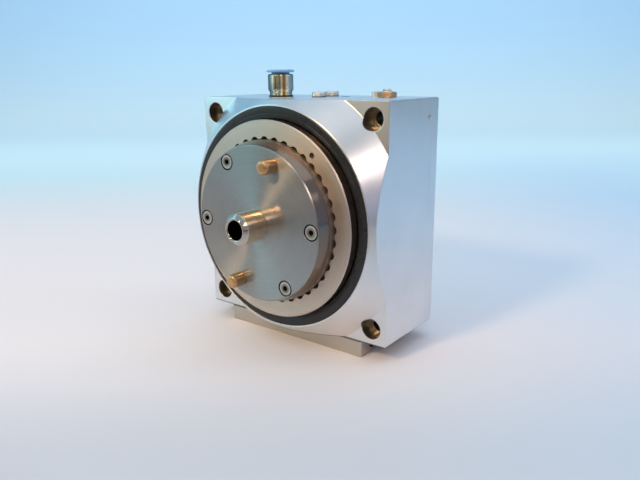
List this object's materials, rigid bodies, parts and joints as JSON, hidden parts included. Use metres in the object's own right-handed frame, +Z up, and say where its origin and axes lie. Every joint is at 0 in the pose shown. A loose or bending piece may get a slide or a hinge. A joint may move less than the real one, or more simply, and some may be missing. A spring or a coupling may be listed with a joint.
{
  "type": "rotary indexing table",
  "caption": "Square pneumatic rotary indexing table with a conical boss, pocketed index ring, adapter plate with dowel pins and hollow spigot, on a narrow foot plate.",
  "frame": {"origin": "centre of the foot plate's underside", "axes": "+Z up, the turning axis along Y with the table facing -Y, +X to the right seen from the front"},
  "size_m": [0.1, 0.074, 0.1193],
  "materials": {
    "anodised_aluminium": "satin",
    "turned_steel": "turned",
    "ring_steel": "turned",
    "ground_steel": "polished",
    "screw_steel": "bright",
    "hardened_steel": "ground",
    "bronze": "turned",
    "yellow_nut": "passivated",
    "nickel_brass": "nickel plated",
    "blue_collar": "polished",
    "black_rubber": "matt",
    "cage_plastic": "moulded"
  },
  "bodies": {
    "body": {"housing": "anodised_aluminium", "rear_cover": "anodised_aluminium", "rear_cover_screws": "screw_steel", "cover_dowels": "screw_steel", "foot_plate": "anodised_aluminium", "foot_screws": "screw_steel", "foot_channel_plug": "screw_steel", "rack_cylinder_seal": "black_rubber", "lock_cylinder_seal": "black_rubber", "wiper_seal": "black_rubber", "front_bearing_outer_ring": "ground_steel", "bearing_circlip": "hardened_steel", "rear_bearing_outer_ring": "ground_steel", "stop_lock_nut": "yellow_nut", "fitting_body": "nickel_brass", "fitting_seal": "black_rubber", "tube_seal": "black_rubber", "tube_grip_ring": "hardened_steel", "channel_plugs": "screw_steel", "plug_seals": "black_rubber", "side_set_screw": "screw_steel", "lock_guide_bush": "bronze", "lock_spring": "hardened_steel"},
    "turntable": {"turntable_hub": "turned_steel", "index_ring": "ring_steel", "ring_screws": "screw_steel", "ring_key_pin": "hardened_steel", "adapter_plate": "turned_steel", "adapter_screws": "screw_steel", "dowel_pins": "bronze", "centring_spigot": "ground_steel", "front_bearing_inner_ring": "ground_steel", "rear_bearing_inner_ring": "ground_steel", "index_disc": "turned_steel", "index_disc_screws": "screw_steel", "front_thrust_washer": "hardened_steel", "rear_thrust_washer": "hardened_steel", "shaft_circlip": "hardened_steel"},
    "front_ball_set": {"front_bearing_balls": "ground_steel", "front_bearing_cage": "cage_plastic"},
    "rear_ball_set": {"rear_bearing_balls": "ground_steel", "rear_bearing_cage": "cage_plastic"},
    "gear": {"drive_gear": "hardened_steel", "clutch_shell": "ground_steel", "clutch_rollers": "ground_steel"},
    "rack": {"rack_piston": "hardened_steel", "rack_seals": "black_rubber"},
    "bolt": {"lock_bolt": "hardened_steel", "lock_bolt_seal": "black_rubber"},
    "collar": {"release_collar": "blue_collar"},
    "stop": {"stop_screw": "screw_steel"},
    "throttle": {"throttle_screw": "screw_steel"}
  },
  "joints": [
    {"name": "table_turn", "type": "hinge", "parent": "body", "child": "turntable", "pos_m": [0, 0, 0.0575], "axis": [0, -1, 0], "continuous": true},
    {"name": "front_cage_turn", "type": "hinge", "parent": "body", "child": "front_ball_set", "pos_m": [0, 0, 0.0575], "axis": [0, -1, 0], "continuous": true},
    {"name": "rear_cage_turn", "type": "hinge", "parent": "body", "child": "rear_ball_set", "pos_m": [0, 0, 0.0575], "axis": [0, -1, 0], "continuous": true},
    {"name": "gear_swing", "type": "hinge", "parent": "body", "child": "gear", "pos_m": [0, 0, 0.0575], "axis": [0, -1, 0], "range_deg": [0, 30]},
    {"name": "rack_stroke", "type": "slide", "parent": "body", "child": "rack", "axis": [0, 0, 1], "range_m": [0, 0.0151]},
    {"name": "lock_lift", "type": "slide", "parent": "body", "child": "bolt", "axis": [0, 0, 1], "range_m": [0, 0.0035], "stiffness_N_per_m": 1500, "springref_m": -0.004, "deforming": ["lock_spring"]},
    {"name": "collar_press", "type": "slide", "parent": "body", "child": "collar", "axis": [0, 0, 1], "range_m": [-0.0006, 0], "stiffness_N_per_m": 200},
    {"name": "stop_adjust", "type": "slide", "parent": "body", "child": "stop", "axis": [0, 0, 1], "range_m": [0, 0.004]},
    {"name": "throttle_adjust", "type": "hinge", "parent": "body", "child": "throttle", "pos_m": [0.0254, 0.0095, 0.1075], "axis": [0, 0, 1], "range_deg": [0, 360]}
  ],
  "couplings": [
    {"joint": "front_cage_turn", "follows": "table_turn", "ratio": 0.4606},
    {"joint": "rear_cage_turn", "follows": "table_turn", "ratio": 0.4327},
    {"joint": "rack_stroke", "follows": "gear_swing", "m_per_rad": 0.02875}
  ]
}
